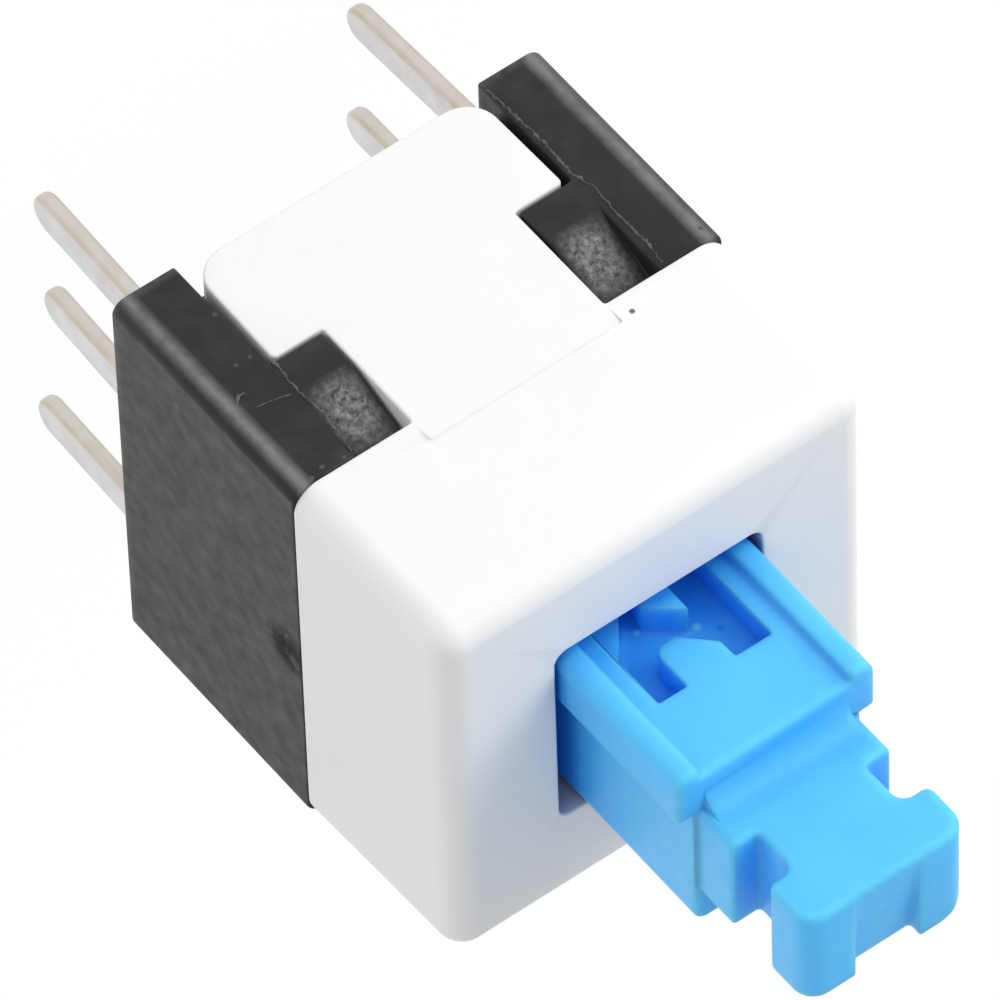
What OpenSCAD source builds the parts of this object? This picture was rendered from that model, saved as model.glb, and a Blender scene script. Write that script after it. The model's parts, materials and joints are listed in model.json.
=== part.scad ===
// Push switch for a circuit board: two poles, self-locking, 8.5 mm square.
// The origin is the centre of the seating plane, +Z points out of the board,
// and -Y is the side with the cam track of the plunger.

/* [Body] */
// Width of the square body
body_w = 8.5; // [8:0.1:10]
// Height of the housing's front face above the board
front_z = 8.65; // [8.45:0.1:9.45]
// Height of the base's side walls, where the housing sits on them
split_z = 4.8; // [4.45:0.05:5.05]
// Rounding of the housing's outer edges
corner_r = 0.5; // [0.2:0.05:0.7]
// Draft of the housing's sides over their height
draft = 0.07; // [0:0.01:0.12]
// Thickness of the housing's side walls
shell_t = 0.8; // [0.6:0.05:0.9]
// Thickness of the housing's front wall
front_t = 0.9; // [0.7:0.05:1]
// Gap between the plunger's rails and the window's sides
side_gap = 0.1; // [0.08:0.01:0.2]
// Gap between the plunger and the window's edge on the track side
track_gap = 0.24; // [0.15:0.01:0.3]
// Gap between the plunger and the window's edge on the other side
under_gap = 0.12; // [0.08:0.01:0.2]
// Rounding of the window's corners
window_r = 0.25; // [0.1:0.05:0.35]

/* [Base] */
// Thickness of the base's side walls
wall_t = 1.25; // [1.15:0.05:1.4]
// Rounding of the walls' outer edges
wall_r = 0.28; // [0.1:0.02:0.4]
// Gap between the board and the base's floor
stand_off = 0.2; // [0.1:0.05:0.35]
// Thickness of the base's floor
floor_t = 0.85; // [0.7:0.05:1]
// Radius of the post that centres the return spring
post_r = 0.7; // [0.5:0.05:0.8]
// Height of the post that centres the return spring
post_h = 1.2; // [0.8:0.1:1.4]

/* [Snap fit] */
// Width of the housing's tongue at its neck
neck_w = 3.8; // [3.4:0.1:4]
// Gap between the tongue's wide foot and the base's side walls
foot_gap = 0.13; // [0.1:0.01:0.25]
// How much narrower the foot is at its end, on each side
foot_taper = 0.03; // [0:0.01:0.2]
// Height of the foot's shoulders above the board
shoulder_z = 2.45; // [2.15:0.1:2.65]
// Height of the tongue's end above the board
tongue_end_z = 0.15; // [0.05:0.05:0.35]
// Rounding of the corners at the foot's end
foot_r = 0.6; // [0.3:0.05:0.7]
// Length of each barb's flat top
barb_flat = 0.75; // [0.5:0.05:1]
// Depth of each barb's lead-in ramp at the housing's edge
barb_drop = 0.5; // [0.3:0.05:0.6]
// Slant of the ramp's start line, in degrees
barb_slant = 13; // [0:1:20]

/* [Terminals] */
// Distance from the outer pins to the body's sides: 1.71 makes the pins 2.54 apart
end_margin = 1.71; // [1.65:0.01:1.75]
// How far the contact strips stand out of the side walls, into the cavity
strip_proud = 0.03; // [0.02:0.01:0.1]
// Thickness of the terminal strip
pin_t = 0.3; // [0.2:0.05:0.3]
// Width of a pin
pin_w = 0.75; // [0.5:0.05:0.8]
// Length of the pins below the seating plane
pin_len = 3.55; // [2.5:0.05:4.5]
// Width of the contact strips inside
strip_w = 1.1; // [0.8:0.05:1.3]

/* [Plunger] */
// How far the plunger can be pressed
travel = 2.5; // [2:0.1:2.5]
// Width over the plunger's flange rails
rail_w = 3.9; // [3.7:0.05:4]
// Thickness of the plunger's front part, from the rails to its underside
block_t = 3.95; // [3.8:0.05:4]
// Width of the plunger's front part under the rails
block_w = 3.28; // [3.2:0.02:3.4]
// Width of the stem
stem_w = 3.14; // [2.9:0.02:3.2]
// Thickness of the stem and the head
stem_t = 2.1; // [1.8:0.05:2.2]
// How far the stem's top lies below the rails
stem_drop = 1; // [0.85:0.05:1.05]
// Height of the flange rails' side faces
rail_h = 1.1; // [0.9:0.05:1.2]
// Width of each rail's top
rail_top_w = 0.45; // [0.3:0.05:0.5]
// How far the rails stand above the panel between them
rail_rise = 0.2; // [0.1:0.05:0.3]
// Rounding of the plunger's long edges
plunger_r = 0.25; // [0.1:0.05:0.3]
// Rounding of the stem's long edges on the track side
stem_r = 0.15; // [0.05:0.05:0.25]
// Fillet where the stem's top meets the flange
flange_fillet = 0.45; // [0.2:0.05:0.5]
// Length of the flange's panel in front of the track
panel_len = 1.56; // [1.4:0.02:1.7]
// Length of the stem in front of the flange
stem_len = 0.9; // [0.6:0.1:1.2]
// Length of the narrow neck
neck_len = 0.92; // [0.7:0.02:1]
// Width of the narrow neck
stem_neck_w = 2.1; // [1.8:0.05:2.3]
// Width of the head that takes a cap
head_w = 3.2; // [2.8:0.05:3.4]
// Length of the head
head_len = 1.03; // [0.9:0.01:1.3]
// Rounding of the head's front corners
head_r = 0.4; // [0.2:0.05:0.5]
// Rounding of the head's back corners
head_back_r = 0.15; // [0.05:0.05:0.2]
// Fillet between the neck and the head
neck_fillet = 0.25; // [0.1:0.05:0.3]
// Rounding of the head's lower edge on the -X side
head_edge_r = 0.65; // [0.3:0.05:0.8]
// Width of the recess in the head's front face
recess_w = 1.25; // [1:0.05:1.4]
// Depth of that recess at the underside
recess_d = 0.26; // [0.1:0.02:0.3]

/* [Cam track] */
// Width of the track's pocket
track_w = 2.24; // [2.2:0.02:2.4]
// Depth of the track below the panel
track_d = 0.64; // [0.5:0.02:0.7]
// Height of the entry channel's floor above the track's floor
step_rise = 0.24; // [0.1:0.02:0.3]
// Room left in front of the latch pin's tip when the plunger is pressed
tip_room = 0.24; // [0.22:0.02:0.4]

/* [Latch] */
// Radius of the latch pin's wire
wire_r = 0.18; // [0.12:0.01:0.2]
// Inner clearance around the wire where it turns
wire_gap = 0.04; // [0.02:0.01:0.06]
// Sideways place of the latch pin's pivot
latch_x = 0.3; // [0.3:0.01:0.34]
// Height of the latch pin's pivot above the board
pivot_z = 1.85; // [1.75:0.05:1.95]
// Gap between the latch pin's tip and the housing's front wall
tip_gap = 0.4; // [0.35:0.05:0.5]
// Gap between the end of the latch pin's hook and the housing's side
hook_gap = 0.15; // [0.1:0.05:0.3]
// Thickness of the latch pin's leaf spring
leaf_t = 0.1; // [0.06:0.01:0.15]
// Width of the leaf spring
leaf_w = 1.7; // [1.2:0.1:1.8]

/* [Spring and contacts] */
// Radius of the return spring, to the middle of its wire
coil_r = 1; // [0.95:0.01:1.04]
// Radius of the return spring's wire
coil_wire_r = 0.1; // [0.08:0.01:0.12]
// Number of turns of the return spring
turns = 8; // [5:1:10]
// Depth of the plunger's bore for the return spring
bore_depth = 2.4; // [2:0.1:2.6]
// Thickness of the moving contacts' sheet
sheet_t = 0.1; // [0.06:0.01:0.14]
// Height of the moving contacts
contact_h = 0.7; // [0.5:0.05:0.75]
// Half length of each hump of the moving contacts
hump_half = 0.8; // [0.6:0.05:0.85]
// Length of the flat end past the last pin's middle
contact_end = 0.36; // [0.2:0.02:0.5]

/* [Fits] */
// Gap between parts that fit together
fit = 0.05; // [0.03:0.01:0.08]
// Gap between the plunger's shoulder and the housing's front wall at rest
rest_gap = 0.05; // [0.03:0.01:0.1]
// Gap between the moving contacts and the strips they touch
touch_gap = 0.03; // [0.02:0.01:0.05]

/* [Hidden] */
$fn = 48;
eps = 0.01;

half = body_w / 2;
wall_x = half - wall_t;
cavity = half - shell_t;
floor_z = stand_off + floor_t;
floor_y = cavity - fit;
ceiling_z = front_z - front_t;
foot_w = 2 * (wall_x - foot_gap);
shoulder_gap = 0.05;
shoulder_r = 0.1;
barb_x = neck_w / 2 + fit;

pitch = half - end_margin;
contact_x = wall_x - strip_proud;
strip_set = 0.2;
strip_top = split_z - 0.15;
strip_low = floor_z + 0.2;
strip_mid = (strip_top + strip_low) / 2;
strip_break = 0.2;

rail_y = -block_t / 2 - 0.02;
panel_y = rail_y + rail_rise;
track_y = panel_y + track_d;
under_y = rail_y + block_t;
panel_w = rail_w - 2 * rail_top_w;
stem_top_y = rail_y + stem_drop;
stem_low_y = stem_top_y + stem_t;

tip_rest_z = ceiling_z - tip_gap;
latch_len = tip_rest_z - pivot_z;
track_back = tip_rest_z - 0.5;
track_front = tip_rest_z + travel + tip_room;
flange_z = track_front + panel_len;
stem_z = flange_z + stem_len;
head_z = stem_z + neck_len;
tip_z = head_z + head_len;

carrier_top = ceiling_z - rest_gap;
carrier_low = floor_z + travel + 0.3;
carrier_x = contact_x - 0.1;
carrier_y = floor_y - 0.2;
groove_w = 3;
bore_r = coil_r + coil_wire_r + 0.15;
bore_top = carrier_low + bore_depth;

arm_y = panel_y - wire_r - 0.29;
bend_r = 0.3;
hook_len = cavity + arm_y - hook_gap;
lug_w = 1.2;
lug_front = arm_y - bend_r - 0.03;
lug_top = pivot_z + 0.7;
leaf_low = lug_top + 0.3;
leaf_high = ceiling_z - fit;

seat_x = carrier_x - 0.4;
contact_z = carrier_low + 0.05;
contact_half = pitch + contact_end;

// A plate with two rounded corners on its +X side, standing on Z
module half_round_plate(x0, x1, y, r, h) {
    linear_extrude(height = h) union() {
        translate([x0, -y]) square([x1 - x0 - r, 2 * y]);
        translate([x0, -y + r]) square([x1 - x0, 2 * y - 2 * r]);
        for (s = [-1, 1]) translate([x1 - r, s * (y - r)]) circle(r);
    }
}

// An outline drawn in X and Z, made solid from y0 to y1
module xz_solid(y0, y1) {
    translate([0, y1, 0]) rotate([90, 0, 0]) linear_extrude(height = y1 - y0) children();
}

// An outline drawn in Y and Z, made solid from x0 to x1
module yz_solid(x0, x1) {
    translate([x0, 0, 0]) rotate([90, 0, 90]) linear_extrude(height = x1 - x0) children();
}

// Both sides of the part, the second a mirror image in Y
module both_ends() {
    children();
    mirror([0, 1, 0]) children();
}

// Both sides of the part, the second a mirror image in X
module both_sides() {
    children();
    mirror([1, 0, 0]) children();
}

// One snap barb in the corner between a side wall and the tongue's neck
module barb() {
    barb_low = shoulder_z + shoulder_gap;
    barb_top = split_z - fit;
    ramp_z = barb_low + barb_flat;
    ramp_len = barb_top - ramp_z;
    ramp_deg = atan(barb_drop / ramp_len);
    difference() {
        translate([barb_x, -half, barb_low])
            cube([wall_x - barb_x + eps, half - floor_y, barb_top - barb_low]);
        translate([wall_x, -half, ramp_z - 0.1]) rotate([0, barb_slant, 0]) rotate([-ramp_deg, 0, 0])
            translate([-half, -half, 0]) cube([body_w, half, body_w]);
    }
}

// The strip of one terminal, drawn in X and Z: the pin, then the part set in the wall
module terminal_outline(kind) {
    x0 = contact_x;
    x1 = contact_x + pin_t;
    back = strip_set + pin_t;
    if (kind == "common") translate([x0, strip_low]) square([pin_t, strip_top - strip_low]);
    if (kind == "open") translate([x0, strip_low]) square([pin_t, strip_mid - strip_break / 2 - strip_low]);
    if (kind == "closed") polygon([
        [x0, floor_z - 0.2], [x1, floor_z - 0.2], [x1 + strip_set, floor_z],
        [x1 + strip_set, strip_mid - strip_break / 2], [x1, strip_mid + strip_break / 2], [x1, strip_top],
        [x0, strip_top], [x0, strip_mid + strip_break / 2], [x1 - pin_t + strip_set, strip_mid - strip_break / 2],
        [x1 - pin_t + strip_set, floor_z]]);
}

// The part of a terminal that the base is moulded round
module terminal_blade(kind) {
    wide = kind == "closed" ? pin_w : strip_w;
    xz_solid(-wide / 2, wide / 2) terminal_outline(kind);
    reach = (kind == "closed" ? floor_z - 0.2 : strip_low) - stand_off + 1;
    translate([contact_x, -pin_w / 2, stand_off - 1]) cube([pin_t, pin_w, reach]);
    if (kind == "closed")
        translate([contact_x, -strip_w / 2, strip_mid + strip_break / 2])
            cube([pin_t, strip_w, strip_top - strip_mid - strip_break / 2]);
}

// One whole terminal at the +X side: the round-ended pin and the blade
module terminal(kind) {
    terminal_blade(kind);
    translate([contact_x, -pin_w / 2, -pin_len + pin_w / 2]) cube([pin_t, pin_w, pin_len - pin_w / 2 + stand_off]);
    translate([contact_x, 0, -pin_len + pin_w / 2]) rotate([0, 90, 0]) cylinder(h = pin_t, r = pin_w / 2);
}

// The three terminals of the +X side, each moved to its place in the row
module row_place(kind) {
    y = kind == "closed" ? -pitch : kind == "open" ? pitch : 0;
    translate([0, y, 0]) children();
}

module base() {
    color([0.13, 0.13, 0.14]) difference() {
        union() {
            translate([-wall_x - eps, -floor_y, stand_off]) cube([2 * wall_x + 2 * eps, 2 * floor_y, floor_t]);
            both_sides() half_round_plate(wall_x, half, half, wall_r, split_z);
            both_sides() both_ends() barb();
            translate([0, 0, floor_z - eps]) cylinder(h = post_h + eps, r = post_r);
            translate([latch_x - lug_w / 2, -floor_y, floor_z - eps])
                cube([lug_w, floor_y + lug_front, lug_top - floor_z + eps]);
        }
        both_sides() for (kind = ["closed", "common", "open"]) row_place(kind) terminal_blade(kind);
        translate([latch_x, lug_front + bend_r, pivot_z]) rotate([90, 0, 0])
            cylinder(h = half, r = wire_r + wire_gap);
    }
}

// The housing's block in front of the base, rounded along its outer edges
module housing_block() {
    inset = half - corner_r;
    hull() for (sx = [-1, 1]) for (sy = [-1, 1]) {
        translate([sx * inset, sy * inset, split_z]) cylinder(h = 0.1, r = corner_r);
        translate([sx * (inset - draft), sy * (inset - draft), front_z - corner_r]) sphere(corner_r);
    }
}

// The tongue with its wide foot, which snaps behind two barbs
module tongue() {
    foot_end = foot_w / 2 - foot_taper;
    xz_solid(-half, -cavity) {
        translate([-neck_w / 2, shoulder_z - 1]) square([neck_w, split_z - shoulder_z + 1 + 0.5]);
        hull() for (s = [-1, 1]) {
            translate([s * (foot_w / 2 - shoulder_r), shoulder_z - shoulder_r]) circle(shoulder_r);
            translate([s * (foot_end - foot_r), tongue_end_z + foot_r]) circle(foot_r);
        }
    }
}

// The rounded window in the front wall, which the plunger slides through
module window() {
    x = rail_w / 2 + side_gap;
    low = rail_y - track_gap;
    high = under_y + under_gap;
    translate([0, 0, ceiling_z - 1]) linear_extrude(height = front_t + 2) {
        translate([-x + window_r, low]) square([2 * x - 2 * window_r, high - low]);
        translate([-x, low + window_r]) square([2 * x, high - low - 2 * window_r]);
        for (s = [-1, 1]) for (y = [low + window_r, high - window_r]) translate([s * (x - window_r), y]) circle(window_r);
    }
}

module housing() {
    color([0.93, 0.93, 0.94]) difference() {
        union() {
            housing_block();
            both_ends() tongue();
        }
        translate([-cavity, -cavity, split_z - 1]) cube([2 * cavity, 2 * cavity, ceiling_z - split_z + 1]);
        window();
    }
}

// A bar along Z whose two edges on the -Y side are rounded
module edge_bar(w, y0, y1, z0, z1, r) {
    translate([0, 0, z0]) linear_extrude(height = z1 - z0) union() {
        translate([-w / 2 + r, y0]) square([w - 2 * r, y1 - y0]);
        translate([-w / 2, y0 + r]) square([w, y1 - y0 - r]);
        for (s = [-1, 1]) translate([s * (w / 2 - r), y0 + r]) circle(r);
    }
}

// The head seen from the track side, with round corners
module head_outline() {
    w = head_w / 2;
    translate([-w, head_z + head_back_r]) square([head_w, head_len - head_r - head_back_r]);
    translate([-w + head_r, tip_z - head_r - eps]) square([head_w - 2 * head_r, head_r + eps]);
    translate([-w + head_back_r, head_z]) square([head_w - 2 * head_back_r, head_back_r + eps]);
    for (s = [-1, 1]) {
        translate([s * (w - head_r), tip_z - head_r]) circle(head_r);
        translate([s * (w - head_back_r), head_z + head_back_r]) circle(head_back_r);
    }
    difference() {
        translate([-stem_neck_w / 2 - neck_fillet, head_z - neck_fillet])
            square([stem_neck_w + 2 * neck_fillet, neck_fillet + eps]);
        for (s = [-1, 1]) translate([s * (stem_neck_w / 2 + neck_fillet), head_z - neck_fillet]) circle(neck_fillet);
    }
}

// The island that the latch pin goes round, with the notch that holds it
module cam_island() {
    polygon([[-0.38, track_front - 1.19], [0.22, track_front - 1.67], [0.12, track_front - 2.14],
             [-0.12, track_front - 2.39], [-0.38, track_front - 2.09]]);
}

// The cam at the track's front, which turns the latch pin to the other channel
module cam_nose() {
    translate([0.33, track_front - 0.66]) circle(0.23);
    polygon([[-0.4, track_front + eps], [0.56, track_front + eps], [0.56, track_front - 0.66],
             [0.33, track_front - 0.89], [0.12, track_front - 0.89], [-0.39, track_front - 0.38]]);
}

// The raised floor of the entry channel, which ends in a slanting step
module entry_floor() {
    step = [[track_w / 2, track_front - 1.04], [0.4, track_front - 1.99],
            [0.4, track_back - 1], [track_w / 2, track_back - 1]];
    intersection() {
        xz_solid(panel_y, track_y + eps) polygon(step);
        yz_solid(0, track_w / 2) polygon([
            [track_y + eps, track_back + 0.2], [track_y - step_rise, track_front - 2.1],
            [track_y - step_rise, track_front], [track_y + eps, track_front]]);
    }
}

// What the head's round lower edge leaves out on the -X side
module head_edge_cut() {
    x = -head_w / 2 + head_edge_r;
    y = stem_low_y - head_edge_r;
    translate([0, 0, head_z - 0.1]) linear_extrude(height = head_len + 1) difference() {
        translate([x - 2 * head_edge_r, y]) square(2 * head_edge_r);
        translate([x, y - 1]) square([head_edge_r + 1, 2 * head_edge_r + 1]);
        translate([x, y]) circle(head_edge_r);
    }
}

// The hollow fillet in the corner between the stem's top and the flange
module flange_root() {
    r = flange_fillet;
    yz_solid(-stem_w / 2 + stem_r, stem_w / 2 - stem_r) difference() {
        translate([stem_top_y - r, flange_z - eps]) square(r + eps);
        translate([stem_top_y - r, flange_z + r]) circle(r);
    }
}

// The plunger's front part, the stem and the head, before the track is cut
module plunger_front() {
    edge_bar(rail_w, rail_y, rail_y + rail_h, carrier_top - eps, flange_z, plunger_r);
    mirror([0, 1, 0]) edge_bar(block_w, -under_y, -stem_top_y, carrier_top - eps, flange_z, plunger_r);
    edge_bar(stem_w, stem_top_y, stem_low_y, flange_z - 1, stem_z, stem_r);
    flange_root();
    translate([-stem_neck_w / 2, stem_top_y, stem_z - eps]) cube([stem_neck_w, stem_t, neck_len + 2 * eps]);
    difference() {
        xz_solid(stem_top_y, stem_low_y) head_outline();
        head_edge_cut();
    }
}

// The plunger's inner part, which carries the moving contacts and stops at the front wall
module plunger_carrier() {
    difference() {
        translate([-carrier_x, -carrier_y, carrier_low])
            cube([2 * carrier_x, 2 * carrier_y, carrier_top - carrier_low]);
        translate([-groove_w / 2, -carrier_y - 1, carrier_low - 1])
            cube([groove_w, carrier_y + 1 + panel_y, carrier_top - carrier_low + 2]);
        both_sides() translate([seat_x, -carrier_y - 1, carrier_low - 1])
            cube([2, 2 * carrier_y + 2, contact_z - carrier_low + contact_h + fit + 1]);
        translate([0, 0, carrier_low - 1]) cylinder(h = bore_top - carrier_low + 1, r = bore_r);
    }
}

module plunger() {
    recess_deg = atan(recess_d / stem_t);
    color([0.3, 0.72, 0.98]) {
        difference() {
            union() {
                plunger_front();
                plunger_carrier();
            }
            translate([-panel_w / 2, rail_y - 1, carrier_top - 1]) cube([panel_w, 1 + rail_rise, flange_z]);
            difference() {
                xz_solid(panel_y - 1, track_y)
                    translate([-track_w / 2, track_back]) square([track_w, track_front - track_back]);
                xz_solid(panel_y, track_y + eps) {
                    cam_island();
                    cam_nose();
                }
                entry_floor();
            }
            translate([-recess_w / 2, stem_top_y, tip_z]) rotate([-recess_deg, 0, 0])
                translate([0, -1, 0]) cube([recess_w, stem_t + 2, 1]);
        }
    }
}

// A corrugated spring sheet with three humps, one for each strip of a row
module moving_contact() {
    hump = contact_x - touch_gap - seat_x - fit;
    hump_r = (hump_half * hump_half + hump * hump) / (2 * hump);
    translate([seat_x + fit, 0, contact_z]) linear_extrude(height = contact_h) {
        difference() {
            translate([0, -contact_half]) square([sheet_t, 2 * contact_half]);
            for (i = [-1, 0, 1]) translate([hump - hump_r, i * pitch]) circle(hump_r - sheet_t);
        }
        for (i = [-1, 0, 1]) intersection() {
            translate([hump - hump_r, i * pitch]) difference() {
                circle(hump_r);
                circle(hump_r - sheet_t);
            }
            translate([0, i * pitch - hump_half]) square([hump, 2 * hump_half]);
        }
    }
}

// Points of one ring of the spring's wire, at turn angle a
function coil_ring(a, z) = [for (i = [0:7])
    let (b = i * 45, r = coil_r + coil_wire_r * cos(b))
    [r * cos(a), r * sin(a), z + coil_wire_r * sin(b)]];

// Height of the wire at turn t: the first and last turns lie closed
function coil_z(t, low, high) =
    let (flat = 2 * coil_wire_r + 0.01, lift = (high - low - 2 * flat) / (turns - 2))
    t < 1 ? low + flat * t : t > turns - 1 ? high - flat * (turns - t) : low + flat + lift * (t - 1);

module return_spring() {
    steps = 20;
    count = turns * steps;
    low = floor_z + coil_wire_r;
    high = bore_top - coil_wire_r;
    points = [for (k = [0:count]) each coil_ring(k * 360 / steps, coil_z(k / steps, low, high))];
    sides = [for (k = [0:count - 1]) for (i = [0:7])
        let (j = (i + 1) % 8) [k * 8 + i, k * 8 + 8 + i, k * 8 + 8 + j, k * 8 + j]];
    color([0.78, 0.78, 0.8])
        polyhedron(points, concat(sides, [[for (i = [0:7]) i]], [[for (i = [7:-1:0]) count * 8 + i]]));
}

// A quarter bend of the wire about the X axis, from +Z towards -Y
module wire_bend() {
    rotate([90, 0, 90]) rotate_extrude(angle = 90) translate([bend_r, 0]) circle(wire_r);
}

module latch_pin() {
    color([0.8, 0.8, 0.82]) translate([latch_x, arm_y, pivot_z]) {
        translate([0, 0, bend_r]) cylinder(h = latch_len - 2 * bend_r, r = wire_r);
        translate([0, -bend_r, bend_r]) mirror([0, 0, 1]) wire_bend();
        translate([0, bend_r, latch_len - bend_r]) mirror([0, 1, 0]) wire_bend();
        translate([0, -bend_r, 0]) rotate([90, 0, 0]) cylinder(h = hook_len - bend_r, r = wire_r);
        translate([0, bend_r, latch_len]) rotate([-90, 0, 0])
            cylinder(h = panel_y + track_d - step_rise - 0.1 - arm_y - bend_r, r = wire_r);
    }
}

// A bowed strip between the housing's wall and the latch pin's arm
module latch_leaf_spring() {
    chord = (leaf_high - leaf_low) / 2;
    bow = arm_y - wire_r - 0.02 + cavity;
    r = (chord * chord + bow * bow) / (2 * bow);
    color([0.83, 0.76, 0.6]) intersection() {
        translate([latch_x + 0.2 - leaf_w / 2, -cavity + bow - r, (leaf_high + leaf_low) / 2]) rotate([0, 90, 0])
            difference() {
                cylinder(h = leaf_w, r = r, $fn = 96);
                translate([0, 0, -1]) cylinder(h = leaf_w + 2, r = r - leaf_t, $fn = 96);
            }
        translate([-half, -cavity, 0]) cube([body_w, bow + eps, front_z]);
    }
}

base();
housing();
plunger();
color([0.8, 0.78, 0.74]) row_place("closed") terminal("closed");  // terminal_left_closed
color([0.8, 0.78, 0.74]) row_place("common") terminal("common");  // terminal_left_common
color([0.8, 0.78, 0.74]) row_place("open") terminal("open");  // terminal_left_open
color([0.8, 0.78, 0.74]) mirror([1, 0, 0]) row_place("closed") terminal("closed");  // terminal_right_closed
color([0.8, 0.78, 0.74]) mirror([1, 0, 0]) row_place("common") terminal("common");  // terminal_right_common
color([0.8, 0.78, 0.74]) mirror([1, 0, 0]) row_place("open") terminal("open");  // terminal_right_open
color([0.85, 0.62, 0.35]) moving_contact();  // moving_contact_left
color([0.85, 0.62, 0.35]) mirror([1, 0, 0]) moving_contact();  // moving_contact_right
return_spring();
latch_pin();
latch_leaf_spring();
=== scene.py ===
import json
import math
import random

import bmesh
import bpy
from mathutils import Matrix, Vector


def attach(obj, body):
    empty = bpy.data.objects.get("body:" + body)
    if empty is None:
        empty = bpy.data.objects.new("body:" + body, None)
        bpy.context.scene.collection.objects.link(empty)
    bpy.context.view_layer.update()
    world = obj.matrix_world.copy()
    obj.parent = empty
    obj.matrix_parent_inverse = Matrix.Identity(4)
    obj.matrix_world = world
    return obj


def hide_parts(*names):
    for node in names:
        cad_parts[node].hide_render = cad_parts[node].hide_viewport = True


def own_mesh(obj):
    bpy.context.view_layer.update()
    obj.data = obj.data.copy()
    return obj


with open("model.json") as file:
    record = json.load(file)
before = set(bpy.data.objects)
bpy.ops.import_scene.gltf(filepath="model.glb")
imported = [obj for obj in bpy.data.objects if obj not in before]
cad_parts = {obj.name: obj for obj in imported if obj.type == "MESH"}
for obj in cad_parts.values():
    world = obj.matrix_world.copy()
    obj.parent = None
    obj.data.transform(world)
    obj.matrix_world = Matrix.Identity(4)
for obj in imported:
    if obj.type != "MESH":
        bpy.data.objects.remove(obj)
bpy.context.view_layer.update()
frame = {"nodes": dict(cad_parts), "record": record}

mm = 0.001
print("frame loaded:", len(frame["nodes"]), "nodes")

camera = {
    "azimuth": 23.864,      # degrees round the object, 0 looks along +Y
    "elevation": 29.566,
    "roll": 136.06,
    "distance": 255.22 * mm,
    "aim": Vector((-0.097, -0.074, 4.300)) * mm,
    "lens": 576.0,
    "sensor": 36.0,
}


def makeCamera(c):
    a, e, r = (math.radians(c[k]) for k in ("azimuth", "elevation", "roll"))
    back = Vector((math.sin(a) * math.cos(e), -math.cos(a) * math.cos(e), math.sin(e)))
    level = Vector((math.cos(a), math.sin(a), 0))
    rise = back.cross(level)
    right = level * math.cos(r) + rise * math.sin(r)
    up = back.cross(right)
    data = bpy.data.cameras.new("photoCamera")
    data.lens = c["lens"]
    data.sensor_width = c["sensor"]
    data.clip_start = 0.001
    data.clip_end = 10
    cam = bpy.data.objects.new("photoCamera", data)
    turn = Matrix((right, up, back)).transposed().to_4x4()
    cam.matrix_world = Matrix.Translation(c["aim"] + back * c["distance"]) @ turn
    bpy.context.scene.collection.objects.link(cam)
    bpy.context.scene.camera = cam


makeCamera(camera)


# Materials: every one works in object coordinates, so its grain has a size in millimetres

def startMaterial(name):
    mat = bpy.data.materials.new(name)
    mat.use_nodes = True
    tree = mat.node_tree
    return mat, tree, tree.nodes["Principled BSDF"]


def place(tree):
    return tree.nodes.new("ShaderNodeTexCoord").outputs["Object"]


def grain(tree, perMm, detail=4.0, rough=0.55):
    n = tree.nodes.new("ShaderNodeTexNoise")
    n.inputs["Scale"].default_value = perMm / mm
    n.inputs["Detail"].default_value = detail
    n.inputs["Roughness"].default_value = rough
    tree.links.new(place(tree), n.inputs["Vector"])
    return n.outputs["Fac"]


def spread(tree, value, low, high, fromLow=0.3, fromHigh=0.7):
    n = tree.nodes.new("ShaderNodeMapRange")
    n.inputs["From Min"].default_value = fromLow
    n.inputs["From Max"].default_value = fromHigh
    n.inputs["To Min"].default_value = low
    n.inputs["To Max"].default_value = high
    tree.links.new(value, n.inputs["Value"])
    return n.outputs["Result"]


def blendColour(tree, value, first, second):
    n = tree.nodes.new("ShaderNodeMix")
    n.data_type = "RGBA"
    for socket, colour in (("A", first), ("B", second)):
        target = [s for s in n.inputs if s.name == socket and s.type == "RGBA"][0]
        if isinstance(colour, tuple):
            target.default_value = (*colour, 1)
        else:
            tree.links.new(colour, target)
    tree.links.new(value, n.inputs["Factor"])
    return [s for s in n.outputs if s.type == "RGBA"][0]


def graded(tree, value, first, second, fromLow=0.3, fromHigh=0.7):
    # from the first colour to the second as the value runs over its span
    return blendColour(tree, spread(tree, value, 0, 1, fromLow, fromHigh), first, second)


def bumps(tree, bsdf, layers, normal=None):
    # layers of (noise, height in mm, strength), the first one on the given normal
    last = normal
    for value, heightMm, strength in layers:
        n = tree.nodes.new("ShaderNodeBump")
        n.inputs["Distance"].default_value = heightMm * mm
        n.inputs["Strength"].default_value = strength
        tree.links.new(value, n.inputs["Height"])
        if last:
            tree.links.new(last, n.inputs["Normal"])
        last = n.outputs["Normal"]
    tree.links.new(last, bsdf.inputs["Normal"])


def spot(tree, centre, radius, hard=0.6):
    # 1 round a point in mm, and 0 from the radius on
    n = tree.nodes.new("ShaderNodeVectorMath")
    n.operation = "DISTANCE"
    n.inputs[1].default_value = Vector(centre) * mm
    tree.links.new(place(tree), n.inputs[0])
    return spread(tree, n.outputs["Value"], 1, 0, radius * hard * mm, radius * mm)


def joined(tree, first, second, how="MULTIPLY"):
    n = tree.nodes.new("ShaderNodeMath")
    n.operation = how
    for socket, value in zip(n.inputs, (first, second)):
        if isinstance(value, (int, float)):
            socket.default_value = value
        else:
            tree.links.new(value, socket)
    return n.outputs[0]


def facing(tree, first, second):
    # dot product of two vectors
    n = tree.nodes.new("ShaderNodeVectorMath")
    n.operation = "DOT_PRODUCT"
    tree.links.new(first, n.inputs[0])
    if isinstance(second, tuple):
        n.inputs[1].default_value = second
    else:
        tree.links.new(second, n.inputs[1])
    return n.outputs["Value"]


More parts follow.
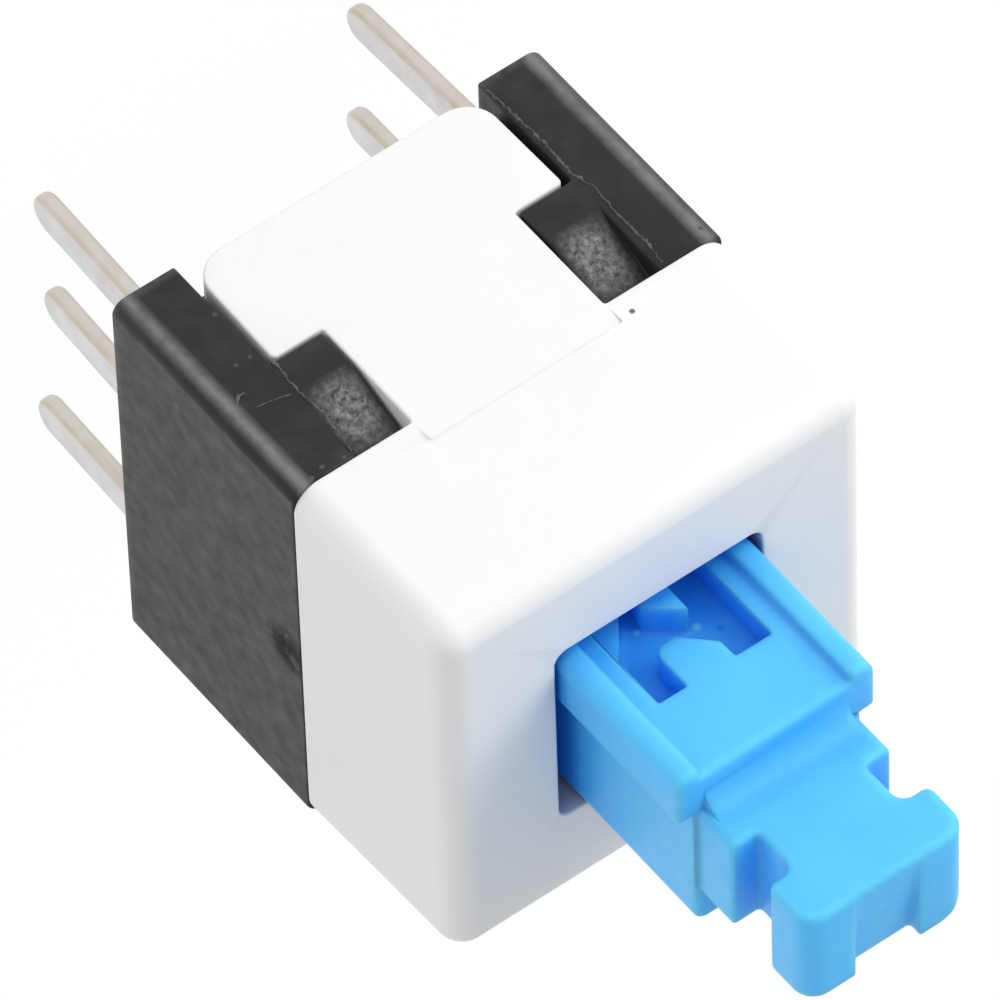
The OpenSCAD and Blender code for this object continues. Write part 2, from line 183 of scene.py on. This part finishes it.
def along(tree, axis, vector=None, folded=True):
    # one coordinate, the same on both sides of the middle if folded
    n = tree.nodes.new("ShaderNodeSeparateXYZ")
    tree.links.new(vector or place(tree), n.inputs[0])
    return joined(tree, n.outputs[axis], 0, "ABSOLUTE") if folded else n.outputs[axis]


def between(tree, value, rise, fall):
    # 1 between the two pairs, in mm, and 0 outside them
    parts = []
    if rise:
        parts.append(spread(tree, value, 0, 1, rise[0] * mm, rise[1] * mm))
    if fall:
        parts.append(spread(tree, value, 1, 0, fall[0] * mm, fall[1] * mm))
    return parts[0] if len(parts) == 1 else joined(tree, *parts)


def openness(tree, reach):
    # 1 where a surface lies free, less in corners and gaps that are narrower than the reach in mm
    n = tree.nodes.new("ShaderNodeAmbientOcclusion")
    n.samples = 3
    n.inputs["Distance"].default_value = reach * mm
    return n.outputs["AO"]


def setFinish(tree, bsdf, f, rougher=None, layers=(), normal=None):
    # roughness, relief and gloss, with what one place adds to the first two
    rough = spread(tree, grain(tree, *f["roughGrain"]), *f["roughness"])
    if rougher:
        rough = joined(tree, rough, rougher, "ADD")
    tree.links.new(rough, bsdf.inputs["Roughness"])
    relief = [(grain(tree, *noise), heightMm, strength) for noise, heightMm, strength in f["relief"]]
    bumps(tree, bsdf, relief + list(layers), normal)
    if "gloss" in f:
        bsdf.inputs["Specular IOR Level"].default_value = f["gloss"]
    else:
        bsdf.inputs["Metallic"].default_value = 1.0


def setDepth(bsdf, weight, reach, depthMm):
    # light that goes a little way into the plastic, with its own reach for red, green and blue
    bsdf.inputs["Subsurface Weight"].default_value = weight
    bsdf.inputs["Subsurface Radius"].default_value = reach
    bsdf.inputs["Subsurface Scale"].default_value = depthMm * mm


# Every noise is given as grains in a mm and detail, and relief as noise, height in mm and strength

whitePlastic = {
    "colour": (0.93, 0.93, 0.93),
    "shade": (0.915, 0.915, 0.92),
    "patches": (0.35, 3),
    "roughness": (0.34, 0.46),
    "roughGrain": (2, 4),
    "relief": [((0.5, 2), 0.02, 0.25), ((14, 5), 0.002, 0.35)],
    "gloss": 0.4,
    "depth": (0.12, (1.0, 0.9, 0.8), 0.35),
    "hollow": (0.22, 0.24, 0.32),       # painted shade inside the plunger's opening, darker where the surface lies in a narrow gap
    "hollowReach": 0.9,
    "hollowAbove": (7.5, 7.8),
    "speck": (0.16, 0.12, 0.10),
    "specks": [((3.84, -4.25, 8.62), 0.06), ((-2.15, -4.25, 5.19), 0.06), ((-2.61, -4.25, 8.53), 0.06)],
}


def makeWhite(w):
    mat, tree, bsdf = startMaterial("mouldedWhite")
    colour = graded(tree, grain(tree, *w["patches"]), w["colour"], w["shade"])
    for centre, radius in w["specks"]:
        colour = blendColour(tree, spot(tree, centre, radius), colour, w["speck"])
    # painted shade: the white darkens in gaps and corners above the given height, inside the plunger's
    # opening
    hollow = joined(tree, spread(tree, openness(tree, w["hollowReach"]), 1, 0, 0.1, 0.62),
                    between(tree, along(tree, "Z", folded=False), w["hollowAbove"], None))
    tree.links.new(blendColour(tree, hollow, colour, w["hollow"]), bsdf.inputs["Base Color"])
    setFinish(tree, bsdf, w)
    setDepth(bsdf, *w["depth"])
    return mat


blackPlastic = {
    "near": (0.015, 0.015, 0.0155),     # painted light and shade: this lighter tone towards -Y, the next darker one towards +Y
    "far": (0.0085, 0.0085, 0.009),
    "side": 4.2,
    "worn": (0.028, 0.028, 0.029),
    "patches": (1.6, 5),
    "roughness": (0.36, 0.5),
    "roughGrain": (3, 5),
    "relief": [((1, 3), 0.02, 0.3), ((18, 4), 0.003, 0.5)],
    "gloss": 0.3,
    "edge": (0.19, 0.19, 0.195),        # painted highlight along the rounded upright edges, and a lighter rim at the back end
    "edgeX": ((3.80, 3.98), (4.02, 4.17)),
    "edgeY": (3.65, 3.8),
    "backRim": (0.06, 0.2),
    "rampDark": (0.055, 0.055, 0.057),  # the rough ramps beside the snap hooks: a textured grey, with painted glints in its lighter grains
    "rampLight": (0.32, 0.32, 0.32),
    "rampX": ((1.98, 2.2), (2.62, 2.98)),
    "rampY": (3.5, 3.6),
    "rampZ": ((3.2, 3.6), (4.15, 4.75)),
    "scar": (0.004, 0.004, 0.004),      # where the gate was broken off
    "scarAt": (4.25, 0.2, 4.43),
    "scarRadius": 0.62,
    "rougher": 0.3,                     # added on the ramps and the scar
    "tornRelief": ((9, 5, 0.7), 0.03, 0.8),
    "fleck": (0.075, 0.075, 0.078),
    "flecks": [((-4.02, -4.25, 4.54), 0.07), ((3.07, -4.25, 1.18), 0.06), ((3.14, -4.25, 2.20), 0.05),
               ((3.41, -4.25, 2.20), 0.05), ((4.25, -3.37, 1.70), 0.07), ((3.55, -4.25, 4.65), 0.06),
               ((3.16, -4.25, 4.71), 0.05), ((3.81, -4.25, 4.73), 0.06)],
}


def makeBlack(b):
    mat, tree, bsdf = startMaterial("mouldedBlack")
    x, y, z = along(tree, "X"), along(tree, "Y"), along(tree, "Z", folded=False)
    side = b["side"] * mm
    # painted light and shade: the black is lighter on the -Y side and darker on the +Y side
    colour = graded(tree, along(tree, "Y", folded=False), b["near"], b["far"], -side, side)
    colour = graded(tree, grain(tree, *b["patches"]), colour, b["worn"], 0.45, 0.75)

    # painted highlight on the rounded upright edges, mixed with a lighter rim at the back end
    rounded = joined(tree, between(tree, x, *b["edgeX"]), between(tree, y, b["edgeY"], None))
    paintedEdgeHighlight = joined(tree, rounded, spread(tree, grain(tree, 2.5, 6), 0.6, 1.1, 0.35, 0.65))
    backRim = joined(tree, between(tree, z, None, b["backRim"]),
                     spread(tree, grain(tree, 4, 4), 0.05, 0.35))
    colour = blendColour(tree, joined(tree, paintedEdgeHighlight, backRim, "MAXIMUM"), colour, b["edge"])

    ramp = joined(tree, between(tree, x, *b["rampX"]), between(tree, z, *b["rampZ"]))
    ramp = joined(tree, ramp, between(tree, y, b["rampY"], None))
    ramp = joined(tree, ramp, spread(tree, grain(tree, 1.8, 3), 0.7, 1.15))
    # textured grey of the ramps, whose lightest grains are painted glints
    greyGrainAndGlints = graded(tree, grain(tree, 9, 6, 0.75), b["rampDark"], b["rampLight"], 0.38, 0.66)
    colour = blendColour(tree, ramp, colour, greyGrainAndGlints)

    scar = joined(tree, spot(tree, b["scarAt"], b["scarRadius"], 0.35),
                  spread(tree, grain(tree, 3.2, 5, 0.7), 0, 1, 0.42, 0.52))
    colour = blendColour(tree, scar, colour, b["scar"])
    for centre, radius in b["flecks"]:
        colour = blendColour(tree, spot(tree, centre, radius, 0.3), colour, b["fleck"])
    tree.links.new(colour, bsdf.inputs["Base Color"])

    torn = joined(tree, ramp, scar, "MAXIMUM")
    noise, heightMm, strength = b["tornRelief"]
    coarse = joined(tree, grain(tree, *noise), torn)
    setFinish(tree, bsdf, b, joined(tree, torn, b["rougher"]), [(coarse, heightMm, strength)])
    return mat


bluePlastic = {
    "colour": (0.105, 0.61, 1.0),
    "shade": (0.090, 0.57, 0.99),
    "patches": (0.8, 3),
    "roughness": (0.30, 0.44),
    "roughGrain": (3, 4),
    "relief": [((1.2, 3), 0.03, 0.35), ((12, 4), 0.002, 0.4)],
    "gloss": 0.4,
    "depth": (0.35, (0.1, 0.5, 1.0), 0.6),
    "deep": (0.004, 0.24, 0.90),        # painted shade in the pocket and the gaps, a deeper blue where light would bounce often; also the tone of two dark flecks
    "deepReach": 1.6,
    "light": (0.20, 0.72, 1.0),
    "glow": (0.0, 0.10, 1.0, 1.0),      # painted glow: the plastic gives off a little blue light of its own, most where it lies free
    "glowMost": 0.10,
    "ridge": (0.18, 0.84, 1.0),         # painted highlight: a lighter tone along outer edges
    "ridgeWidth": 0.28,
    "flecks": [((-0.545, -1.155, 8.89), 0.10, "light"), ((0.27, -1.155, 8.40), 0.08, "light"),
               ((-0.83, -1.155, 9.14), 0.10, "deep"), ((-0.06, 0.04, 14.24), 0.16, "deep")],
}


def makeBlue(b):
    mat, tree, bsdf = startMaterial("mouldedBlue")
    free = openness(tree, b["deepReach"])
    colour = graded(tree, grain(tree, *b["patches"]), b["colour"], b["shade"])
    # painted shade: a deeper blue where the surface lies in a gap or corner
    colour = graded(tree, free, b["deep"], colour, 0.12, 0.85)
    for centre, radius, tone in b["flecks"]:
        colour = blendColour(tree, joined(tree, spot(tree, centre, radius, 0.3), 0.7), colour, b[tone])

    rounded = tree.nodes.new("ShaderNodeBevel")
    rounded.samples = 3
    rounded.inputs["Radius"].default_value = b["ridgeWidth"] * mm
    normal = rounded.outputs["Normal"]
    # painted highlight along outer edges, where the rounded normal turns away from the true one
    turned = facing(tree, normal, tree.nodes.new("ShaderNodeNewGeometry").outputs["True Normal"])
    ridge = joined(tree, spread(tree, turned, 1, 0, 0.82, 0.985), spread(tree, free, 0, 1, 0.5, 0.75))
    ridge = joined(tree, ridge, spread(tree, grain(tree, 3.5, 4), 0.6, 1.1))
    tree.links.new(blendColour(tree, ridge, colour, b["ridge"]), bsdf.inputs["Base Color"])

    # painted glow, stronger where the surface lies free
    bsdf.inputs["Emission Color"].default_value = b["glow"]
    tree.links.new(spread(tree, free, 0, b["glowMost"], 0.2, 0.8), bsdf.inputs["Emission Strength"])
    setFinish(tree, bsdf, b, normal=normal)
    setDepth(bsdf, *b["depth"])
    return mat


tin = {
    "face": (0.73, 0.72, 0.72),
    "faceShade": (0.65, 0.63, 0.62),
    "cut": (0.62, 0.50, 0.43),          # the sheared sides, where the copper alloy shows through
    "cutShade": (0.60, 0.53, 0.40),
    "roughness": (0.30, 0.45),
    "roughGrain": (3, 4),
    "relief": [((1.2, 3), 0.03, 0.35), ((8, 4), 0.004, 0.5)],
}


def makeTin(t):
    mat, tree, bsdf = startMaterial("dullTin")
    face = graded(tree, grain(tree, 1.4, 4), t["face"], t["faceShade"])
    cut = graded(tree, grain(tree, 1.1, 3), t["cut"], t["cutShade"], 0.4, 0.6)
    normal = tree.nodes.new("ShaderNodeTexCoord").outputs["Normal"]
    sideways, across = along(tree, "Y", normal), along(tree, "X", normal)
    corner = spread(tree, joined(tree, sideways, across), 0, 1, 0.12, 0.42)
    sheared = joined(tree, corner, spread(tree, sideways, 0, 0.45, 0.35, 0.8), "MAXIMUM")
    sheared = joined(tree, sheared, spread(tree, grain(tree, 2.2, 4), 0.5, 1.1))
    tree.links.new(blendColour(tree, sheared, face, cut), bsdf.inputs["Base Color"])
    setFinish(tree, bsdf, t)
    return mat


innerMetals = {
    "silveredBronze": {
        "colour": (0.80, 0.68, 0.52), "shade": (0.72, 0.56, 0.38), "patches": (2, 4),
        "roughness": (0.25, 0.4), "roughGrain": (4, 4),
        "relief": [((2, 3), 0.02, 0.3), ((12, 4), 0.003, 0.5)],
    },
    "springSteel": {
        "colour": (0.62, 0.62, 0.64), "shade": (0.5, 0.5, 0.52), "patches": (3, 4),
        "roughness": (0.2, 0.35), "roughGrain": (6, 4),
        "relief": [((3, 3), 0.02, 0.3), ((18, 4), 0.003, 0.5)],
    },
    "leafBronze": {
        "colour": (0.78, 0.62, 0.38), "shade": (0.68, 0.5, 0.28), "patches": (2, 4),
        "roughness": (0.25, 0.4), "roughGrain": (4, 4),
        "relief": [((2, 3), 0.02, 0.3), ((12, 4), 0.003, 0.5)],
    },
}


def makeMetal(name):
    m = innerMetals[name]
    mat, tree, bsdf = startMaterial(name)
    colour = graded(tree, grain(tree, *m["patches"]), m["colour"], m["shade"])
    tree.links.new(colour, bsdf.inputs["Base Color"])
    setFinish(tree, bsdf, m)
    return mat


materials = {
    "housing_white": makeWhite(whitePlastic),
    "base_black": makeBlack(blackPlastic),
    "plunger_blue": makeBlue(bluePlastic),
    "pin_tin": makeTin(tin),
    "contact_bronze": makeMetal("silveredBronze"),
    "spring_steel": makeMetal("springSteel"),
    "leaf_bronze": makeMetal("leafBronze"),
}
slotOf = {part["node"]: part["material_slot"] for part in frame["record"]["subparts"]}
print("materials made:", len(materials))


# Moulded pieces: the solid's own form with every sharp edge broken

shaping = {
    "weld": 0.0008,         # mm between points that are one
    "flat": 0.6,            # degrees between faces that are one
    "sliver": 0.0015,
    "sharp": 28,            # edges that turn by more than this are broken
    "smooth": 32,           # and those below this are shaded as one surface
}


def cleanCopy(node, name):
    mesh = frame["nodes"][node].data.copy()
    mesh.name = name
    bm = bmesh.new()
    bm.from_mesh(mesh)
    bmesh.ops.remove_doubles(bm, verts=bm.verts, dist=shaping["weld"] * mm)
    flat = math.radians(shaping["flat"])
    bmesh.ops.dissolve_limit(bm, angle_limit=flat, verts=bm.verts, edges=bm.edges)
    bm.to_mesh(mesh)
    bm.free()
    obj = bpy.data.objects.new(name, mesh)
    bpy.context.scene.collection.objects.link(obj)
    return obj


def finishPiece(obj, node, slotName):
    obj.data.materials.clear()
    obj.data.materials.append(materials[slotName])
    for polygon in obj.data.polygons:
        polygon.material_index = 0
        polygon.use_smooth = True
    obj.data.set_sharp_from_angle(angle=math.radians(shaping["smooth"]))
    weighted = obj.modifiers.new("evenShading", "WEIGHTED_NORMAL")
    weighted.keep_sharp = True
    weighted.weight = 80
    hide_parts(node)
    body = [b for b, names in frame["record"]["behaviour"]["bodies"].items() if node in names][0]
    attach(obj, body)


def applyModifiers(obj):
    graph = bpy.context.evaluated_depsgraph_get()
    baked = bpy.data.meshes.new_from_object(obj.evaluated_get(graph))
    obj.modifiers.clear()
    bm = bmesh.new()
    bm.from_mesh(baked)
    bmesh.ops.dissolve_degenerate(bm, dist=shaping["sliver"] * mm, edges=bm.edges)
    manySided = [f for f in bm.faces if len(f.verts) > 4]
    bmesh.ops.triangulate(bm, faces=manySided, quad_method="BEAUTY", ngon_method="BEAUTY")
    bm.to_mesh(baked)
    bm.free()
    obj.data = baked


def ownWidth(middle, places):
    # the width in the first box that holds this point, or None
    for area in places:
        if all(low < value < high for value, (low, high) in zip(middle, area["box"])):
            return area["width"]
    return None


def breakEdges(obj, width, segments, places=()):
    mesh = obj.data
    mesh.attributes.new("bevel_weight_edge", "FLOAT", "EDGE")
    bm = bmesh.new()
    bm.from_mesh(mesh)
    layer = bm.edges.layers.float["bevel_weight_edge"]
    for edge in bm.edges:
        share = 0
        if len(edge.link_faces) == 2 and edge.calc_face_angle(0) > math.radians(shaping["sharp"]):
            own = ownWidth((edge.verts[0].co + edge.verts[1].co) / 2 / mm, places)
            share = 1 if own is None else own / width
        edge[layer] = share
    bm.to_mesh(mesh)
    bm.free()
    bevel = obj.modifiers.new("edges", "BEVEL")
    bevel.width = width * mm
    bevel.segments = segments
    bevel.limit_method = "WEIGHT"
    bevel.use_clamp_overlap = False
    bevel.miter_outer = "MITER_ARC"
    applyModifiers(obj)


moulded = {
    "housing": {"name": "housingShell", "width": 0.05, "segments": 3},
    "base": {"name": "baseMoulding", "width": 0.05, "segments": 2},
    "plunger": {
        "name": "plungerMoulding", "width": 0.07, "segments": 3,
        "places": [         # edges with a width of their own: boxes in mm, as x, y and z
            {"box": ((-1.62, -1.3), (-1.6, -0.93), (11.5, 12.3)), "width": 0},  # ends of the fillets
            {"box": ((1.3, 1.62), (-1.6, -0.93), (11.5, 12.3)), "width": 0},
            {"box": ((-1.75, 1.75), (-1.9, -1.0), (-9, 10.3)), "width": 0.035},     # cam track
            {"box": ((-9, -0.3), (0.3, 9), (13.4, 99)), "width": 0.02},     # step on the head's back
        ],
    },
}
for node, look in moulded.items():
    piece = cleanCopy(node, look["name"])
    breakEdges(piece, look["width"], look["segments"], look.get("places", ()))
    finishPiece(piece, node, slotOf[node])
    print("moulded:", node, len(piece.data.polygons), "faces")

# A pin stands off its true line by an (x, y) in mm at its root, and another at its tip

pins = {
    "width": 0.1,
    "segments": 3,
    "length": 3.55,
    "bend": {
        "terminal_right_closed": ((-0.088, -0.038), (0.015, 0.006)),
        "terminal_right_common": ((0.088, 0.038), (0.117, 0.051)),
        "terminal_left_closed": ((0.102, 0.045), (0.029, 0.013)),
        "terminal_left_common": ((0.058, 0.026), (-0.044, -0.019)),
        "terminal_left_open": ((0.277, 0.122), (0.219, 0.096)),
    },
    "bendLength": 0.35,     # the bend is over this far below the seating plane
    "ring": 0.07,           # distance of the cuts that let the pin bend there
    "rings": 7,
}


def bendPin(obj, root, tip, p):
    for vertex in obj.data.vertices:
        depth = -vertex.co.z / mm
        if depth > 0:
            start = min(depth / p["bendLength"], 1)
            start = start * start * (3 - 2 * start)
            down = depth / p["length"]
            vertex.co.x += (root[0] + (tip[0] - root[0]) * down) * start * mm
            vertex.co.y += (root[1] + (tip[1] - root[1]) * down) * start * mm


def cutRings(obj, p):
    bm = bmesh.new()
    bm.from_mesh(obj.data)
    for k in range(p["rings"]):
        bmesh.ops.bisect_plane(bm, geom=bm.verts[:] + bm.edges[:] + bm.faces[:], dist=1e-7,
                               plane_co=(0, 0, -k * p["ring"] * mm), plane_no=(0, 0, 1))
    bm.to_mesh(obj.data)
    bm.free()


for node in sorted(n for n in frame["nodes"] if n.startswith("terminal_")):
    words = node.split("_")
    piece = cleanCopy(node, "".join([words[0]] + [w.capitalize() for w in words[1:]]))
    breakEdges(piece, pins["width"], pins["segments"])
    cutRings(piece, pins)
    if node in pins["bend"]:
        bendPin(piece, *pins["bend"][node], pins)
    finishPiece(piece, node, slotOf[node])
print("terminals done")


# Mould flash: thin ragged lines of black plastic where the halves of the mould met

flash = {
    "y": -4.25,
    "radius": (0.012, 0.045),
    "thinness": 2.2,        # a higher one makes the thick stretches rarer
    "step": 0.05,
    "ragged": 0.018,        # how far the line wanders in its face
    "lift": (-0.004, 0.01),
    "sides": 6,
    "lines": [              # points as (x, z)
        [(2.91, 2.46), (2.95, 3.26), (2.89, 3.78), (3.01, 4.74)],
        [(-3.04, 0.20), (-3.10, 1.26), (-3.11, 1.89), (-3.07, 2.36),
         (-3.20, 2.87), (-3.15, 3.42), (-3.17, 4.21), (-3.12, 4.76)],
        [(3.68, 3.07), (3.30, 3.13), (3.03, 3.23)],
        [(3.83, 2.82), (3.75, 2.72), (3.57, 2.74)],
    ],
    "dark": (0.03, 0.03, 0.03),
    "light": (0.13, 0.13, 0.13),
    "patches": (4, 5),
    "roughness": (0.45, 0.7),
    "roughGrain": (6, 4),
    "relief": [((12, 4), 0.01, 0.6)],
    "gloss": 0.5,
}


def tubeAlong(points, radii, sides):
    # rings of vertices round a run of points, and the faces between them
    verts, faces = [], []
    first = None
    last = len(points) - 1
    for k, point in enumerate(points):
        ahead = points[min(k + 1, last)] - points[max(k - 1, 0)]
        if first is None:
            first = ahead.orthogonal().normalized()
        else:
            first = (first - ahead * (first.dot(ahead) / ahead.dot(ahead))).normalized()
        second = ahead.cross(first).normalized()
        for i in range(sides):
            turn = 2 * math.pi * i / sides
            verts.append(point + (first * math.cos(turn) + second * math.sin(turn)) * radii[k])
    for k in range(last):
        for i in range(sides):
            j = (i + 1) % sides
            faces.append((k * sides + i, k * sides + j, (k + 1) * sides + j, (k + 1) * sides + i))
    faces.append(tuple(range(sides - 1, -1, -1)))
    faces.append(tuple(last * sides + i for i in range(sides)))
    return verts, faces


def makeTube(name, runs, sides, material, body):
    verts, faces = [], []
    for points, radii in runs:
        more, sidesOf = tubeAlong(points, radii, sides)
        faces += [tuple(i + len(verts) for i in face) for face in sidesOf]
        verts += more
    mesh = bpy.data.meshes.new(name)
    mesh.from_pydata(verts, [], faces)
    mesh.materials.append(material)
    for polygon in mesh.polygons:
        polygon.use_smooth = True
    obj = bpy.data.objects.new(name, mesh)
    bpy.context.scene.collection.objects.link(obj)
    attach(obj, body)
    return obj


def raggedRun(line, f, dice):
    points = []
    for (x0, z0), (x1, z1) in zip(line, line[1:]):
        count = max(2, int(math.hypot(x1 - x0, z1 - z0) / f["step"]))
        for k in range(count):
            t = k / count
            x = x0 + (x1 - x0) * t + dice.uniform(-f["ragged"], f["ragged"])
            y = f["y"] + dice.uniform(*f["lift"])
            points.append(Vector((x, y, z0 + (z1 - z0) * t)) * mm)
    low, high = f["radius"]
    radii = [(low + (high - low) * dice.random() ** f["thinness"]) * mm for _ in points]
    return points, radii


def makeFlashMaterial(f):
    mat, tree, bsdf = startMaterial("flashBlack")
    colour = graded(tree, grain(tree, *f["patches"]), f["dark"], f["light"], 0.35, 0.65)
    tree.links.new(colour, bsdf.inputs["Base Color"])
    setFinish(tree, bsdf, f)
    return mat


dice = random.Random(7)
makeTube("mouldFlash", [raggedRun(line, flash, dice) for line in flash["lines"]], flash["sides"],
         makeFlashMaterial(flash), "case")
print("mould flash done")

spring = {
    "radius": 1.0,
    "wire": 0.1,            # half its thickness
    "turns": 8,
    "steps": 40,            # points in a turn
    "sides": 10,
    "floor": 1.05,
    "low": 1.15,            # middle of the wire at both ends
    "high": 6.15,
    "pressed": 2.5,
}


def springRun(c):
    # the first and the last turn lie closed
    closed = 2 * c["wire"] + 0.01
    lift = (c["high"] - c["low"] - 2 * closed) / (c["turns"] - 2)
    points = []
    for k in range(c["turns"] * c["steps"] + 1):
        t = k / c["steps"]
        if t < 1:
            z = c["low"] + closed * t
        elif t > c["turns"] - 1:
            z = c["high"] - closed * (c["turns"] - t)
        else:
            z = c["low"] + closed + lift * (t - 1)
        turn = 2 * math.pi * t
        points.append(Vector((c["radius"] * math.cos(turn), c["radius"] * math.sin(turn), z)) * mm)
    return points, [c["wire"] * mm] * len(points)


coil = makeTube("returnSpring", [springRun(spring)], spring["sides"],
                materials["spring_steel"], "case")
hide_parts("return_spring")
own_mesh(coil)
print("return spring done")

for node in ("moving_contact_left", "moving_contact_right", "latch_pin", "latch_leaf_spring"):
    data = frame["nodes"][node].data
    data.materials.clear()
    data.materials.append(materials[slotOf[node]])
print("inner pieces done")


# Studio: a white floor under the pins, soft light from all round and one large lamp

studio = {
    "floorZ": -3.56,        # mm, just below the pins' tips
    "floorSize": 800,       # mm from the middle to each side
    "floorColour": (0.85, 0.85, 0.85, 1),
    "floorGlow": 0.21,
    "floorShown": 0.98,     # how much of the camera's view of the floor is plain white
    "worldFill": 0.79,      # strength of the soft light from all round
    "worldLean": 0.45,      # how much stronger it is from the bright side
    "brightSide": (0.1, -0.45, -0.8),
    "key": {"at": (-117, -100, 89), "aim": (0, 0, 5), "size": 130, "watts": 0.13},
}
white = (1, 1, 1, 1)


def seenWhite(tree, shader, share, nodeType, rays):
    # these rays see plain white, mixed with the lit surface so that a trace of shadow stays
    path = tree.nodes.new("ShaderNodeLightPath")
    shown = tree.nodes.new(nodeType)
    shown.inputs["Color"].default_value = white
    shown.inputs["Strength"].default_value = 1.0
    mix = tree.nodes.new("ShaderNodeMixShader")
    seen = joined(tree, path.outputs[rays[0]], path.outputs[rays[1]], "MAXIMUM")
    tree.links.new(joined(tree, seen, share), mix.inputs[0])
    tree.links.new(shader, mix.inputs[1])
    tree.links.new(shown.outputs[0], mix.inputs[2])
    return mix.outputs[0]


def makeFloor(s):
    size, z = s["floorSize"] * mm, s["floorZ"] * mm
    mesh = bpy.data.meshes.new("floor")
    corners = [(x * size, y * size, z) for x, y in ((-1, -1), (1, -1), (1, 1), (-1, 1))]
    mesh.from_pydata(corners, [], [(0, 1, 2, 3)])
    floor = bpy.data.objects.new("floor", mesh)
    bpy.context.scene.collection.objects.link(floor)
    mat, tree, bsdf = startMaterial("paperFloor")
    bsdf.inputs["Base Color"].default_value = s["floorColour"]
    bsdf.inputs["Roughness"].default_value = 0.9
    bsdf.inputs["Emission Color"].default_value = white
    bsdf.inputs["Emission Strength"].default_value = s["floorGlow"]
    rays = ("Is Camera Ray", "Is Glossy Ray")
    shown = seenWhite(tree, bsdf.outputs[0], s["floorShown"], "ShaderNodeEmission", rays)
    tree.links.new(shown, tree.nodes["Material Output"].inputs["Surface"])
    mesh.materials.append(mat)


def makeWorld(s):
    world = bpy.data.worlds.new("studio")
    bpy.context.scene.world = world
    world.use_nodes = True
    tree = world.node_tree
    fill = tree.nodes["Background"]
    fill.inputs["Color"].default_value = white
    side = facing(tree, tree.nodes.new("ShaderNodeTexCoord").outputs["Generated"], s["brightSide"])
    low, high = (s["worldFill"] * (1 + sign * s["worldLean"]) for sign in (-1, 1))
    tree.links.new(spread(tree, side, low, high, -1, 1), fill.inputs["Strength"])
    rays = ("Is Camera Ray", "Is Transmission Ray")
    shown = seenWhite(tree, fill.outputs[0], 1, "ShaderNodeBackground", rays)
    tree.links.new(shown, tree.nodes["World Output"].inputs["Surface"])


def makeKey(l):
    data = bpy.data.lights.new("key", "AREA")
    data.shape = "DISK"
    data.size = l["size"] * mm
    data.energy = l["watts"]
    lamp = bpy.data.objects.new("key", data)
    lamp.location = Vector(l["at"]) * mm
    lamp.rotation_euler = (Vector(l["aim"]) * mm - lamp.location).to_track_quat("-Z", "Y").to_euler()
    bpy.context.scene.collection.objects.link(lamp)


makeFloor(studio)
makeWorld(studio)
makeKey(studio["key"])
bpy.context.scene.view_settings.view_transform = "Standard"
print("studio made")
